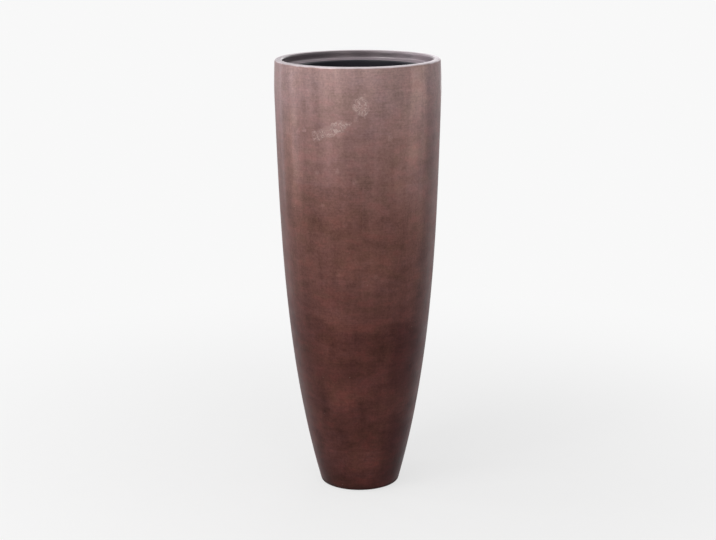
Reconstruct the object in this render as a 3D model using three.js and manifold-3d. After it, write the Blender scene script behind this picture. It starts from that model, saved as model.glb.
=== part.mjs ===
// A tall tapering floor planter: a fibreglass shell with an inward-turned lip, a collar whose ledge carries a
// lift-out liner, a bonded base plate with a ballast ring on it, a drain bung and four foot pads.
// Millimetres, +Z up. The origin is on the floor, under the middle of the planter.

import * as THREE from "three";
import { mergeVertices } from "three/addons/utils/BufferGeometryUtils.js";
import Module from "manifold-3d";

// Outside shape
const height = 900; // floor to the top of the lip
const widestRadius = 170; // outside radius at the widest point
const widestBelowLip = 65; // from the top of the lip down to the widest point
const lipTuck = 1.9; // how much the side draws in again between the widest point and the lip
const footRadius = 82; // outside radius where the side's curve reaches the floor
const steadyTaper = 22; // the even part of the narrowing from the widest point to the floor
const bellyPower = 3.12; // how late the rest of the narrowing comes: a higher power keeps the side fuller

// Shell
const wall = 5;
const lipWidth = 15;
const lipThickness = 8;
const lipOuterRounding = 5;
const lipInnerRounding = 4;
const footEdgeRounding = 3.5;

// Moulded edges and bends that are no larger on one piece than on another
const edgeRounding = 1;
const bendRounding = 2.5;

// Collar with the ledge that carries the liner
const ledgeBelowLip = 17.5;
const ledgeWidth = 14;
const coveRounding = 5;
const rebateDepth = 3.5;
const rebateWidth = 11;
const laminate = 4; // thickness of the collar and of the base plate's upstand
const skirtLength = 25; // how far the collar's skirt is bonded down the shell's wall
const bondLine = 0.3; // resin between two bonded pieces
const fingerNotchRadius = 11;
const fingerNotchCount = 2;

// Liner
const linerHeight = 280; // underside of its well to the top of its flange
const linerWall = 3;
const flangeThickness = 3;
const flangeClearance = 0.5; // round the flange in its rebate
const linerClearance = 1; // between the liner's wall and the rebate's inner edge
const linerDraft = 22; // how much the liner narrows from its flange to its floor
const linerFloorRounding = 12;
const wellRadius = 24; // the well in the floor keeps the plug below a pot that stands there
const wellDepth = 9;

// Plug in the liner's well
const plugHoleRadius = 9;
const plugClearance = 0.3;
const plugHeadRadius = 14;
const plugHeadThickness = 3;
const plugTail = 5; // how far the plug reaches below the liner
const plugTailTaper = 1.5;
const knobRadius = 6;
const knobNeckRadius = 4;
const knobNeckHeight = 1.6;
const knobHeadHeight = 3.4;

// Base plate
const plateThickness = 5;
const recessDepth = 8; // from the ring foot up to the plate's underside
const footRingWidth = 15;
const upstandHeight = 35; // how far the upstand is bonded up the shell's wall
const upstandRounding = 4; // inside the corner between plate and upstand
const recessRounding = 4;
const drainHoleRadius = 11;

// Bung in the drain hole
const bungClearance = 0.3;
const bungHeadRadius = 17;
const bungHeadThickness = 4;
const bungLength = 16; // the part above its head
const bungTopTaper = 1.5;
const bungGrip = 5; // radius of the finger hole in its head
const bungGripDepth = 8;

// Ballast ring
const ballastHeight = 55;
const ballastHoleRadius = 28;
const ballastFall = 4; // slope of its top towards the hole, so that water runs to the drain
const ballastRounding = 5;

// Foot pads
const padCount = 4;
const padRadius = 6.5;
const padThickness = 2;
const padRounding = 0.6;

// Facets
const roundSteps = 52;
const smallRoundSteps = 20;
const roundingSag = 0.3; // how far a rounding's facets may stray from its arc
const sideSteps = 14; // from the foot up to the widest point
const tuckSteps = 2; // from the widest point up to the lip
const insideSteps = 7; // between the base plate's upstand and the collar's skirt
const upstandSteps = 1;
const cutMargin = 2; // how far a cutting tool reaches past what it cuts

// Levels and radii that several pieces share
const widestHeight = height - widestBelowLip;
const lipInnerRadius = outsideRadius(height) - lipWidth;
const lipUnderside = height - lipThickness;
const ledgeTop = height - ledgeBelowLip;
const ledgeInnerRadius = lipInnerRadius - ledgeWidth;
const shelfTop = ledgeTop - rebateDepth;
const shelfInnerRadius = ledgeInnerRadius - rebateWidth;
const flangeTop = shelfTop + flangeThickness;
const linerUnderside = flangeTop - linerHeight;
const wellFloor = linerUnderside + linerWall;
const shellBottom = padThickness;
const plateUnderside = shellBottom + recessDepth;
const plateTop = plateUnderside + plateThickness;
const skirtBottom = ledgeTop - skirtLength;
const upstandTop = shellBottom + upstandHeight;

const wasm = await Module();
wasm.setup();

// The side leans in from its widest point: a steady part, and a belly that turns in faster towards the floor.
function outsideRadius(z) {
  if (z > widestHeight) {
    return widestRadius - lipTuck * ((z - widestHeight) / widestBelowLip) ** 2;
  }
  const drop = 1 - z / widestHeight;
  const belly = widestRadius - footRadius - steadyTaper;
  return widestRadius - steadyTaper * drop - belly * drop ** bellyPower;
}

function insideRadius(z) {
  return outsideRadius(z) - wall;
}

// Corners [radius, height] along a curved side through the given stops, with the steps from each to the next.
// Bonded pieces share the stops of the wall they lie against, so their flat facets stay parallel.
function alongSide(radiusAt, stops, steps) {
  const corners = [[radiusAt(stops[0]), stops[0]]];
  steps.forEach((count, span) => {
    for (let i = 1; i <= count; i += 1) {
      const z = THREE.MathUtils.lerp(stops[span], stops[span + 1], i / count);
      corners.push([radiusAt(z), z]);
    }
  });
  return corners;
}

// The arc that rounds one corner of an outline, no larger than half of the shorter edge beside it allows.
function roundedCorner(before, corner, after, rounding) {
  const toBefore = before.clone().sub(corner);
  const toAfter = after.clone().sub(corner);
  const halfAngle = Math.abs(Math.atan2(toBefore.cross(toAfter), toBefore.dot(toAfter))) / 2;
  const wanted = rounding / Math.tan(halfAngle);
  const cut = Math.min(wanted, toBefore.length() / 2, toAfter.length() / 2);
  const radius = cut * Math.tan(halfAngle);
  const inward = toBefore.clone().normalize().add(toAfter.clone().normalize()).normalize();
  const centre = corner.clone().addScaledVector(inward, radius / Math.sin(halfAngle));
  const start = corner.clone().addScaledVector(toBefore.normalize(), cut).sub(centre);
  const end = corner.clone().addScaledVector(toAfter.normalize(), cut).sub(centre);
  const turn = Math.atan2(start.cross(end), start.dot(end));
  const facet = 2 * Math.acos(Math.max(1 - roundingSag / radius, 0));
  const steps = Math.ceil(Math.abs(turn) / facet);
  const points = [];
  for (let i = 0; i <= steps; i += 1) {
    points.push(start.clone().rotateAround(new THREE.Vector2(), (turn * i) / steps).add(centre));
  }
  return points;
}

// Points of an outline walked anticlockwise: its corners are [radius, height] or [radius, height, rounding].
// A ring's outline closes on itself; any other starts and ends on the axis.
function outlinePoints(corners, isRing) {
  const sharp = corners.map(([radius, z]) => new THREE.Vector2(radius, z));
  const points = [];
  corners.forEach(([, , rounding], i) => {
    if (!rounding) {
      points.push(sharp[i]);
      return;
    }
    const before = sharp.at(i - 1);
    const after = sharp[(i + 1) % sharp.length];
    points.push(...roundedCorner(before, sharp[i], after, rounding));
  });
  if (isRing) {
    points.push(points[0].clone());
  }
  return points;
}

// A piece turned about +Z.
function turned(corners, steps = roundSteps) {
  const isRing = corners[0][0] > 0;
  const geometry = new THREE.LatheGeometry(outlinePoints(corners, isRing), steps);
  geometry.rotateX(Math.PI / 2);
  return geometry;
}

function toSolid(geometry) {
  const bare = geometry.clone();
  bare.deleteAttribute("normal");
  bare.deleteAttribute("uv");
  const merged = mergeVertices(bare);
  return new wasm.Manifold(
    new wasm.Mesh({
      numProp: 3,
      vertProperties: merged.attributes.position.array,
      triVerts: new Uint32Array(merged.index.array),
    }),
  );
}

function toGeometry(solid) {
  const mesh = solid.getMesh();
  const geometry = new THREE.BufferGeometry();
  geometry.setAttribute("position", new THREE.BufferAttribute(mesh.vertProperties, 3));
  geometry.setIndex(new THREE.BufferAttribute(mesh.triVerts, 1));
  geometry.computeVertexNormals();
  return geometry;
}

// Shell: up the outside, over the lip, down the inside, closed across its lower edge.
function shellGeometry() {
  const outside = alongSide(outsideRadius, [shellBottom, widestHeight, height], [sideSteps, tuckSteps]);
  outside[0].push(footEdgeRounding);
  outside.at(-1).push(lipOuterRounding);
  const insideStops = [lipUnderside, ledgeTop, skirtBottom, upstandTop, shellBottom];
  const inside = alongSide(insideRadius, insideStops, [1, 1, insideSteps, upstandSteps]);
  const lip = [
    [lipInnerRadius, height, lipInnerRounding],
    [lipInnerRadius, lipUnderside],
  ];
  return turned([...outside, ...lip, ...inside]);
}

// Outer face of a laminate that is bonded to the inside of the shell.
function bondedRadius(z) {
  return insideRadius(z) - bondLine;
}

// Inner face of that laminate.
function linedRadius(z) {
  return bondedRadius(z) - laminate;
}

// Collar: skirt, ledge plate joggled down into the rebate, and the short wall that meets the lip.
function collarGeometry() {
  const wallOuterRadius = lipInnerRadius + laminate;
  const plateBelow = ledgeTop - laminate;
  const ring = turned([
    [bondedRadius(skirtBottom), skirtBottom],
    [bondedRadius(ledgeTop), ledgeTop, bendRounding],
    [wallOuterRadius, ledgeTop],
    [wallOuterRadius, lipUnderside],
    [lipInnerRadius, lipUnderside],
    [lipInnerRadius, ledgeTop, coveRounding],
    [ledgeInnerRadius, ledgeTop, edgeRounding],
    [ledgeInnerRadius, shelfTop],
    [shelfInnerRadius, shelfTop, edgeRounding],
    [shelfInnerRadius, shelfTop - laminate],
    [ledgeInnerRadius + laminate, shelfTop - laminate],
    [ledgeInnerRadius + laminate, plateBelow],
    [linedRadius(plateBelow), plateBelow],
    [linedRadius(skirtBottom), skirtBottom],
  ]);
  let solid = toSolid(ring);
  for (let i = 0; i < fingerNotchCount; i += 1) {
    solid = solid.subtract(toSolid(fingerNotch((2 * Math.PI * i) / fingerNotchCount)));
  }
  return toGeometry(solid);
}

// The cut through ledge and shelf where a finger hooks under the liner's flange.
function fingerNotch(angle) {
  const low = shelfTop - laminate - cutMargin;
  const high = ledgeTop + cutMargin;
  const cut = new THREE.CylinderGeometry(fingerNotchRadius, fingerNotchRadius, high - low, smallRoundSteps);
  cut.rotateX(Math.PI / 2);
  cut.translate(ledgeInnerRadius * Math.cos(angle), ledgeInnerRadius * Math.sin(angle), (low + high) / 2);
  return cut;
}

// Liner: well, floor, drafted side and the flange that rests in the rebate.
function linerGeometry() {
  const sideRadius = shelfInnerRadius - linerClearance;
  const floorRadius = sideRadius - linerDraft;
  const floorUnderside = linerUnderside + wellDepth;
  const floorTop = wellFloor + wellDepth;
  return turned([
    [plugHoleRadius, linerUnderside],
    [wellRadius + linerWall, linerUnderside, bendRounding],
    [wellRadius + linerWall, floorUnderside],
    [floorRadius, floorUnderside, linerFloorRounding],
    [sideRadius, shelfTop],
    [ledgeInnerRadius - flangeClearance, shelfTop],
    [ledgeInnerRadius - flangeClearance, flangeTop, edgeRounding],
    [sideRadius - linerWall, flangeTop, bendRounding],
    [floorRadius - linerWall, floorTop, linerFloorRounding - linerWall],
    [wellRadius, floorTop, edgeRounding],
    [wellRadius, wellFloor],
    [plugHoleRadius, wellFloor],
  ]);
}

// Plug: tapered tail below the hole, a head that seats in the well and a knob to pinch.
function linerPlugGeometry() {
  const tailRadius = plugHoleRadius - plugClearance;
  const headTop = wellFloor + plugHeadThickness;
  const neckTop = headTop + knobNeckHeight;
  const knobTop = neckTop + knobHeadHeight;
  return turned(
    [
      [0, linerUnderside - plugTail],
      [tailRadius - plugTailTaper, linerUnderside - plugTail],
      [tailRadius, linerUnderside],
      [tailRadius, wellFloor],
      [plugHeadRadius, wellFloor],
      [plugHeadRadius, headTop, edgeRounding],
      [knobNeckRadius, headTop],
      [knobNeckRadius, neckTop],
      [knobRadius, neckTop, edgeRounding],
      [knobRadius, knobTop, edgeRounding],
      [0, knobTop],
    ],
    smallRoundSteps,
  );
}

// Base plate: ring foot, plate with the drain hole, and the upstand bonded to the shell's wall.
function basePlateGeometry() {
  const footOuterRadius = bondedRadius(shellBottom);
  const recessRadius = footOuterRadius - footRingWidth;
  const outside = alongSide(bondedRadius, [shellBottom, upstandTop], [upstandSteps]);
  const inside = alongSide(linedRadius, [upstandTop, plateTop], [upstandSteps]);
  inside.at(-1).push(upstandRounding);
  return turned([
    ...outside,
    ...inside,
    [drainHoleRadius, plateTop],
    [drainHoleRadius, plateUnderside],
    [recessRadius, plateUnderside, recessRounding],
    [recessRadius, shellBottom, edgeRounding],
  ]);
}

// Bung: a head in the recess, with a finger hole, and a tapered body through the drain hole.
function drainBungGeometry() {
  const bodyRadius = drainHoleRadius - bungClearance;
  const headBottom = plateUnderside - bungHeadThickness;
  const bungTop = plateUnderside + bungLength;
  return turned(
    [
      [0, headBottom + bungGripDepth],
      [bungGrip, headBottom + bungGripDepth],
      [bungGrip, headBottom, edgeRounding],
      [bungHeadRadius, headBottom, edgeRounding],
      [bungHeadRadius, plateUnderside],
      [bodyRadius, plateUnderside],
      [bodyRadius, plateTop],
      [bodyRadius - bungTopTaper, bungTop, bungTopTaper],
      [0, bungTop],
    ],
    smallRoundSteps,
  );
}

// Ballast ring: cast inside the upstand, its top falling towards the hole.
function ballastGeometry() {
  const ballastTop = plateTop + ballastHeight;
  const radiusAt = (z) => linedRadius(z) - bondLine;
  const outside = alongSide(radiusAt, [plateTop, upstandTop, ballastTop], [upstandSteps, upstandSteps]);
  outside[0].push(ballastRounding);
  outside.at(-1).push(ballastRounding);
  return turned([
    ...outside,
    [ballastHoleRadius, ballastTop - ballastFall, ballastRounding],
    [ballastHoleRadius, plateTop],
  ]);
}

function footPadGeometry() {
  return turned(
    [
      [0, 0],
      [padRadius, 0, padRounding],
      [padRadius, padThickness],
      [0, padThickness],
    ],
    smallRoundSteps,
  );
}

const leafFinish = new THREE.MeshStandardMaterial({ color: 0x7d5550, roughness: 0.38, metalness: 0.55 });
const collarFinish = new THREE.MeshStandardMaterial({ color: 0x7b6663, roughness: 0.45, metalness: 0.5 });
const rawLaminate = new THREE.MeshStandardMaterial({ color: 0x2c2a2b, roughness: 0.7, metalness: 0 });
const linerPlastic = new THREE.MeshStandardMaterial({ color: 0x17171b, roughness: 0.55, metalness: 0 });
const blackRubber = new THREE.MeshStandardMaterial({ color: 0x1c1b1b, roughness: 0.85, metalness: 0 });
const castBallast = new THREE.MeshStandardMaterial({ color: 0x8c8378, roughness: 0.95, metalness: 0 });

function piece(name, geometry, material) {
  const mesh = new THREE.Mesh(geometry, material);
  mesh.name = name;
  return mesh;
}

// The pads stand on the flat of the ring foot, turned off the axes.
function footPads() {
  const pads = new THREE.Group();
  const circleRadius = bondedRadius(shellBottom) - footRingWidth / 2;
  for (let i = 0; i < padCount; i += 1) {
    const angle = (2 * Math.PI * (i + 0.5)) / padCount;
    const pad = piece(`foot_pad_${i + 1}`, footPadGeometry(), blackRubber.clone());
    pad.position.set(circleRadius * Math.cos(angle), circleRadius * Math.sin(angle), 0);
    pads.add(pad);
  }
  return pads;
}

const planter = new THREE.Group();
planter.add(piece("shell", shellGeometry(), leafFinish));
planter.add(piece("rim_collar", collarGeometry(), collarFinish));
planter.add(piece("liner", linerGeometry(), linerPlastic));
planter.add(piece("liner_plug", linerPlugGeometry(), blackRubber.clone()));
planter.add(piece("base_plate", basePlateGeometry(), rawLaminate));
planter.add(piece("ballast_ring", ballastGeometry(), castBallast));
planter.add(piece("drain_bung", drainBungGeometry(), blackRubber.clone()));
planter.add(footPads());

export default planter;
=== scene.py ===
import math

import bpy
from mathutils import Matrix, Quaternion, Vector, noise


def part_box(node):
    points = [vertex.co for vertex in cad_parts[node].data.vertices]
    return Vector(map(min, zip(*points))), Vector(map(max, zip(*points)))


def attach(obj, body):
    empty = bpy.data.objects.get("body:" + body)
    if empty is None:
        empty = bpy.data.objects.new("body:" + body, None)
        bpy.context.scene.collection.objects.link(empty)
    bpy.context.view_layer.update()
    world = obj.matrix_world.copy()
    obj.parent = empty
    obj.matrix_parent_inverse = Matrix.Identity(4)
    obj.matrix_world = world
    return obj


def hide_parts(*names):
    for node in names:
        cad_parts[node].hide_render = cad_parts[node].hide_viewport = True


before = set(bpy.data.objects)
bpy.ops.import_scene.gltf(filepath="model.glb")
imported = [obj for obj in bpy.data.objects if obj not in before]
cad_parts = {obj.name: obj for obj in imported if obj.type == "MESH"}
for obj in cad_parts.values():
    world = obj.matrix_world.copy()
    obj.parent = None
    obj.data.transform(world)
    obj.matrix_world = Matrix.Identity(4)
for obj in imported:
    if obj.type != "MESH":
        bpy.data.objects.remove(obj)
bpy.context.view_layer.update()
print("frame loaded:", ", ".join(sorted(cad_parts)))

mm = 0.001


# every piece of the planter is round, so this sets how finely all of them are turned
turning = {"steps": 256, "smallSteps": 72, "roundingDegrees": 15, "creaseDegrees": 35}


def roundedCorner(before, corner, after, rounding):
    toBefore, toAfter = before - corner, after - corner
    halfAngle = toBefore.angle(toAfter) / 2
    cut = min(rounding / math.tan(halfAngle), toBefore.length / 2, toAfter.length / 2)
    radius = cut * math.tan(halfAngle)
    inward = (toBefore.normalized() + toAfter.normalized()).normalized()
    centre = corner + inward * (radius / math.sin(halfAngle))
    start = corner + toBefore.normalized() * cut - centre
    end = corner + toAfter.normalized() * cut - centre
    turn = math.atan2(start.cross(end), start.dot(end))
    steps = max(math.ceil(math.degrees(abs(turn)) / turning["roundingDegrees"]), 1)
    points = []
    for i in range(steps + 1):
        angle = turn * i / steps
        cosine, sine = math.cos(angle), math.sin(angle)
        spoke = Vector((start.x * cosine - start.y * sine, start.x * sine + start.y * cosine))
        points.append(centre + spoke)
    return points


# corners are (radius, height) or (radius, height, rounding), anticlockwise, in metres
def outlinePoints(corners):
    sharp = [Vector(corner[:2]) for corner in corners]
    points = []
    for i, corner in enumerate(corners):
        if len(corner) == 3 and corner[2] > 0:
            points += roundedCorner(sharp[i - 1], sharp[i], sharp[(i + 1) % len(sharp)], corner[2])
        else:
            points.append(sharp[i])
    return points


# turns an outline about the planter's axis; uneven, if given, moves each point (radius, height, angle)
def turnedPiece(name, corners, steps=None, uneven=None):
    steps = steps or turning["steps"]
    outline = outlinePoints(corners)
    closed = outline[0].x > 0
    verts, rings = [], []
    for point in outline:
        if point.x == 0:
            verts.append((0, 0, point.y))
            rings.append([len(verts) - 1] * steps)
            continue
        ring = []
        for step in range(steps):
            angle = 2 * math.pi * step / steps
            radius, z = (point.x, point.y) if uneven is None else uneven(point.x, point.y, angle)
            verts.append((radius * math.cos(angle), radius * math.sin(angle), z))
            ring.append(len(verts) - 1)
        rings.append(ring)
    if closed:
        rings.append(rings[0])
    faces = []
    for low, high in zip(rings, rings[1:]):
        for step in range(steps):
            after = (step + 1) % steps
            corner = [low[step], low[after], high[after], high[step]]
            faces.append(list(dict.fromkeys(corner)))  # a pole's corners are one point
    mesh = bpy.data.meshes.new(name)
    mesh.from_pydata(verts, [], faces)
    mesh.validate()
    piece = bpy.data.objects.new(name, mesh)
    bpy.context.scene.collection.objects.link(piece)
    return piece


# soft shading, with a crease where the form really has an edge
def shade(piece):
    piece.data.shade_smooth()
    piece.data.set_sharp_from_angle(angle=math.radians(turning["creaseDegrees"]))


# smooth unevenness between 0 and 1 at a point of the surface
def swell(radius, z, angle, size, shift=0.0):
    place = Vector((radius * math.cos(angle), radius * math.sin(angle), z)) / size
    return 0.5 + 0.5 * noise.noise(place + Vector((shift, shift * 1.7, shift * 0.6)))


def settle(piece, body, slot, *nodes):
    shade(piece)
    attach(piece, body)
    if nodes:
        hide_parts(*nodes)


# an output of a node; sums written with it add their Math nodes
class Wire:
    def __init__(self, finish, socket):
        self.finish = finish
        self.socket = socket

    def other(self, name):
        return Wire(self.finish, self.socket.node.outputs[name])

    def __add__(self, value):
        return self.finish.maths("ADD", self, value)

    def __radd__(self, value):
        return self.finish.maths("ADD", value, self)

    def __sub__(self, value):
        return self.finish.maths("SUBTRACT", self, value)

    def __rsub__(self, value):
        return self.finish.maths("SUBTRACT", value, self)

    def __mul__(self, value):
        return self.finish.maths("MULTIPLY", self, value)

    def __rmul__(self, value):
        return self.finish.maths("MULTIPLY", value, self)

    def __truediv__(self, value):
        return self.finish.maths("DIVIDE", self, value)

    def __rtruediv__(self, value):
        return self.finish.maths("DIVIDE", value, self)


class Finish:
    def __init__(self, owner):
        owner.use_nodes = True
        self.owner = owner
        self.tree = owner.node_tree
        self.tree.nodes.clear()

    # settings come first, because some of them change which sockets a node has
    def node(self, kind, settings=None, sockets=None, output=0):
        made = self.tree.nodes.new(kind)
        for key, value in (settings or {}).items():
            if key == "stops":
                setStops(made.color_ramp, value)
            else:
                setattr(made, key, value)
        for key, value in (sockets or {}).items():
            if isinstance(value, Wire):
                self.tree.links.new(value.socket, made.inputs[key])
            else:
                made.inputs[key].default_value = value
        return Wire(self, made.outputs[output]) if made.outputs else None

    def place(self):
        return self.node("ShaderNodeTexCoord", output="Object")

    def stretched(self, place, scale, shift=(0, 0, 0)):
        grown = self.node("ShaderNodeVectorMath", {"operation": "MULTIPLY"}, {0: place, 1: scale})
        return self.node("ShaderNodeVectorMath", {"operation": "ADD"}, {0: grown, 1: shift})

    # cloudy value about 0.5; size is the width of its features in metres
    def cloud(self, place, size, detail=3.0, roughness=0.5, shift=0.0, squash=1.0, warp=0.0):
        scale = (1 / size, 1 / size, squash / size)
        sockets = {
            "Vector": self.stretched(place, scale, (shift, shift * 1.3, shift * 0.7)),
            "Scale": 1.0,
            "Detail": detail,
            "Roughness": roughness,
            "Distortion": warp,
        }
        return self.node("ShaderNodeTexNoise", {}, sockets, "Fac")

    def fade(self, value, low, high, start=0.0, end=1.0):
        sockets = {"Value": value, "From Min": low, "From Max": high, "To Min": start, "To Max": end}
        return self.node("ShaderNodeMapRange", {"interpolation_type": "SMOOTHSTEP"}, sockets)

    def blend(self, mask, under, over, kind="MIX"):
        settings = {"data_type": "RGBA", "blend_type": kind, "clamp_factor": True}
        return self.node("ShaderNodeMix", settings, {0: mask, 6: rgba(under), 7: rgba(over)}, 2)

    def maths(self, operation, first, second=0.0):
        return self.node("ShaderNodeMath", {"operation": operation}, {0: first, 1: second})

    def highest(self, masks):
        top = masks[0]
        for mask in masks[1:]:
            top = self.maths("MAXIMUM", top, mask)
        return top

    # heights are in metres, so the bump's own distance is one metre
    def bump(self, height, strength=1.0):
        return self.node("ShaderNodeBump", {}, {"Strength": strength, "Distance": 1.0, "Height": height})

    def surface(self, sockets):
        shader = self.node("ShaderNodeBsdfPrincipled", {}, sockets)
        self.node("ShaderNodeOutputMaterial", {}, {"Surface": shader})
        return self.owner


def rgba(colour):
    return colour if isinstance(colour, Wire) else (*colour, 1.0)


def setStops(ramp, stops):
    while len(ramp.elements) > 1:
        ramp.elements.remove(ramp.elements[-1])
    ramp.elements[0].position = stops[0][0]
    ramp.elements[0].color = (*stops[0][1], 1.0)
    for position, colour in stops[1:]:
        ramp.elements.new(position).color = (*colour, 1.0)


# millimetres, as in the frame's own solids; overall height and width are read from the frame
shell = {
    "widestBelowLip": 65,
    "lipTuck": 1.9,
    "footRadius": 82,
    "steadyTaper": 22,
    "bellyPower": 3.12,
    "wall": 5,
    "lipWidth": 15,
    "lipThickness": 8,
    "lipOuterRounding": 5,
    "lipInnerRounding": 4,
    "footEdgeRounding": 3.5,
    "ringSpacing": 5,
    "endRun": 12,  # plain run beside each rounded edge
    "edgeMargin": 1,  # of plain wall next to the lip, and inside next to the foot
    "handLaidDip": 0.35,  # how far the outside wanders inwards
    "dipSize": 150,
    "fineDips": 0.3,  # share of the wandering that is a third of that size
    "matSize": 12,  # lumps of the bare glass mat inside, and their relief
    "matRelief": 0.5,
}
shellLow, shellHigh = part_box("shell")
height = shellHigh.z / mm
widestRadius = shellHigh.x / mm
shellBottom = shellLow.z / mm
widestHeight = height - shell["widestBelowLip"]


# the side leans in from its widest point: a steady part, and a belly that turns in faster towards the floor
def outsideRadius(z):
    if z > widestHeight:
        return widestRadius - shell["lipTuck"] * ((z - widestHeight) / shell["widestBelowLip"]) ** 2
    drop = 1 - z / widestHeight
    belly = widestRadius - shell["footRadius"] - shell["steadyTaper"]
    return widestRadius - shell["steadyTaper"] * drop - belly * drop ** shell["bellyPower"]


def insideRadius(z):
    return outsideRadius(z) - shell["wall"]


# half way through the wall at a height, both in metres
def wallMiddle(z):
    return (outsideRadius(z / mm) - shell["wall"] / 2) * mm


def alongSide(radiusAt, low, high, spacing):
    count = max(math.ceil(abs(high - low) / spacing), 1)
    heights = [low + (high - low) * i / count for i in range(count + 1)]
    return [(radiusAt(z), z) for z in heights]


def metres(corners):
    return [tuple(value * mm for value in corner) for corner in corners]


lipInnerRadius = outsideRadius(height) - shell["lipWidth"]
lipUnderside = height - shell["lipThickness"]


def makeShell(innerLeaf):
    run, spacing = shell["endRun"], shell["ringSpacing"]
    corners = [
        (outsideRadius(shellBottom), shellBottom, shell["footEdgeRounding"]),
        *alongSide(outsideRadius, shellBottom + run, height - run, spacing),
        (outsideRadius(height), height, shell["lipOuterRounding"]),
        (lipInnerRadius, height, shell["lipInnerRounding"]),
        (lipInnerRadius, lipUnderside),
        *alongSide(insideRadius, lipUnderside, shellBottom, 2 * spacing),
    ]

    # laid up by hand: the outside wanders a little, the inside shows the glass mat
    def handLaid(radius, z, angle):
        if z > (lipUnderside - shell["edgeMargin"]) * mm:
            return radius, z
        if radius > wallMiddle(z):
            dip = swell(radius, z, angle, shell["dipSize"] * mm)
            fineDip = swell(radius, z, angle, shell["dipSize"] * mm / 3, 5.0)
            dip = (1 - shell["fineDips"]) * dip + shell["fineDips"] * fineDip
            return radius - shell["handLaidDip"] * mm * dip, z
        if z > (shellBottom + shell["edgeMargin"]) * mm:
            lump = swell(radius, z, angle, shell["matSize"] * mm, 9.0)
            return radius + shell["matRelief"] * mm * lump, z
        return radius, z

    piece = turnedPiece("planterShell", metres(corners), uneven=handLaid)
    # the outside and the lip's top carry the leaf, the inside is bare laminate,
    # and the lip's inner face is finished as the collar is
    for finish in (leafFinish(), laminateFinish("bareLaminate"), innerLeaf):
        piece.data.materials.append(finish)
    for face in piece.data.polygons:
        radius = math.hypot(face.center.x, face.center.y)
        inLip = face.center.z > (lipUnderside + shell["edgeMargin"] / 2) * mm
        if inLip and radius < (lipInnerRadius + shell["lipInnerRounding"] / 2) * mm:
            face.material_index = 2
        elif not inLip and radius < wallMiddle(face.center.z):
            face.material_index = 1
    settle(piece, "planter", "leaf_finish", "shell")


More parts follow.
